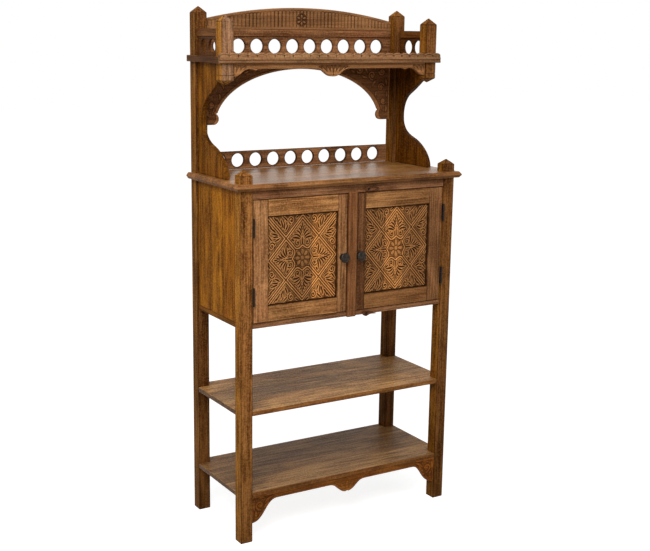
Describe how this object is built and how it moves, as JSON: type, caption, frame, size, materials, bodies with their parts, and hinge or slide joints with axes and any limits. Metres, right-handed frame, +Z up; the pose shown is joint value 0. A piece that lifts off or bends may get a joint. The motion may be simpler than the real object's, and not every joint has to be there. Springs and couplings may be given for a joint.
{
  "type": "sideboard",
  "caption": "Tall carved wooden sideboard: a two-door cabinet with a counter over open shelves, and an arched back that carries a galleried upper shelf.",
  "frame": {"origin": "on the floor, under the middle of the whole object's box, knobs included", "axes": "+Z up, -Y towards the front with the doors, +X to the right seen from the front"},
  "size_m": [0.9, 0.4002, 1.8006],
  "materials": {
    "case_wood": "waxed satin brown mango wood with reddish and honey streaks",
    "carved_wood": "waxed carved wood, dark wax left in the ground of the carving",
    "shelf_wood": "waxed satin boards, greyer brown than the frame",
    "black_iron": "blackened, slightly glossy"
  },
  "bodies": {
    "cabinet": {"arched_crest": "case_wood", "back_arch": "case_wood", "back_gallery": "case_wood", "bottom_apron": "case_wood", "bottom_button_screw": "black_iron", "bottom_shelf": "shelf_wood", "cabinet_back": "case_wood", "cabinet_floor": "case_wood", "counter_gallery": "case_wood", "counter_top": "shelf_wood", "front_bottom_rail": "case_wood", "front_edge_strip": "case_wood", "front_left_post": "case_wood", "front_right_post": "case_wood", "front_top_rail": "case_wood", "front_valance": "case_wood", "left_bottom_rail": "case_wood", "left_edge_strip": "case_wood", "left_lower_hinge_pin": "black_iron", "left_lower_hinge_post_leaf": "black_iron", "left_short_post": "case_wood", "left_side_board": "case_wood", "left_side_gallery": "case_wood", "left_side_panel": "case_wood", "left_upper_hinge_pin": "black_iron", "left_upper_hinge_post_leaf": "black_iron", "middle_shelf": "shelf_wood", "rear_left_post": "case_wood", "rear_right_post": "case_wood", "right_bottom_rail": "case_wood", "right_edge_strip": "case_wood", "right_lower_hinge_pin": "black_iron", "right_lower_hinge_post_leaf": "black_iron", "right_short_post": "case_wood", "right_side_board": "case_wood", "right_side_gallery": "case_wood", "right_side_panel": "case_wood", "right_upper_hinge_pin": "black_iron", "right_upper_hinge_post_leaf": "black_iron", "top_button_screw": "black_iron", "upper_shelf": "shelf_wood"},
    "left_door": {"left_door_bottom_rail": "case_wood", "left_door_hinge_stile": "case_wood", "left_door_meeting_stile": "case_wood", "left_door_panel": "carved_wood", "left_door_top_rail": "case_wood", "left_knob": "black_iron", "left_lower_hinge_door_leaf": "black_iron", "left_upper_hinge_door_leaf": "black_iron"},
    "right_door": {"meeting_batten": "case_wood", "right_door_bottom_rail": "case_wood", "right_door_hinge_stile": "case_wood", "right_door_meeting_stile": "case_wood", "right_door_panel": "carved_wood", "right_door_top_rail": "case_wood", "right_knob": "black_iron", "right_lower_hinge_door_leaf": "black_iron", "right_upper_hinge_door_leaf": "black_iron"},
    "top_button": {"top_turn_button": "case_wood"},
    "bottom_button": {"bottom_turn_button": "case_wood"}
  },
  "joints": [
    {"name": "left_door_hinge", "type": "hinge", "parent": "cabinet", "child": "left_door", "pos_m": [-0.3825, -0.18115, 0.97935], "axis": [0, 0, -1], "range_deg": [0, 115]},
    {"name": "right_door_hinge", "type": "hinge", "parent": "cabinet", "child": "right_door", "pos_m": [0.3825, -0.18115, 0.97935], "axis": [0, 0, 1], "range_deg": [0, 115]},
    {"name": "top_button_pivot", "type": "hinge", "parent": "cabinet", "child": "top_button", "pos_m": [0.057, -0.17415, 1.1977], "axis": [0, 1, 0], "range_deg": [0, 90]},
    {"name": "bottom_button_pivot", "type": "hinge", "parent": "cabinet", "child": "bottom_button", "pos_m": [0.057, -0.17415, 0.76], "axis": [0, -1, 0], "range_deg": [0, 90]}
  ]
}
